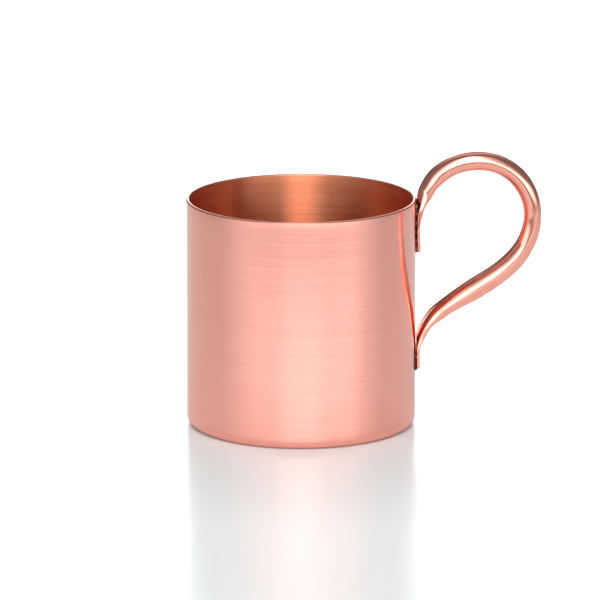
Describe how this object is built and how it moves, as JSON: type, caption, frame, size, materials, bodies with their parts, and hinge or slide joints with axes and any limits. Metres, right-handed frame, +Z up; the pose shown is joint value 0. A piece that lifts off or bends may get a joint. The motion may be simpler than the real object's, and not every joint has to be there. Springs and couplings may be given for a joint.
{
  "type": "mug",
  "caption": "Straight-sided cylindrical drinking mug of polished copper, with an open mouth, a rounded foot and a tall bent-bar loop handle whose flattened ends are brazed to the wall.",
  "frame": {"origin": "centre of the cup's standing ring, on the surface that the mug stands on", "axes": "+Z up along the cup's axis; +X from the cup towards the handle, whose bar lies in the XZ plane"},
  "size_m": [0.1334, 0.086, 0.1032],
  "materials": {
    "spun_copper": "polished",
    "bar_copper": "polished",
    "silver_braze": "satin"
  },
  "bodies": {
    "root": {"cup": "spun_copper", "handle": "bar_copper", "upper_braze": "silver_braze", "lower_braze": "silver_braze"}
  },
  "joints": []
}
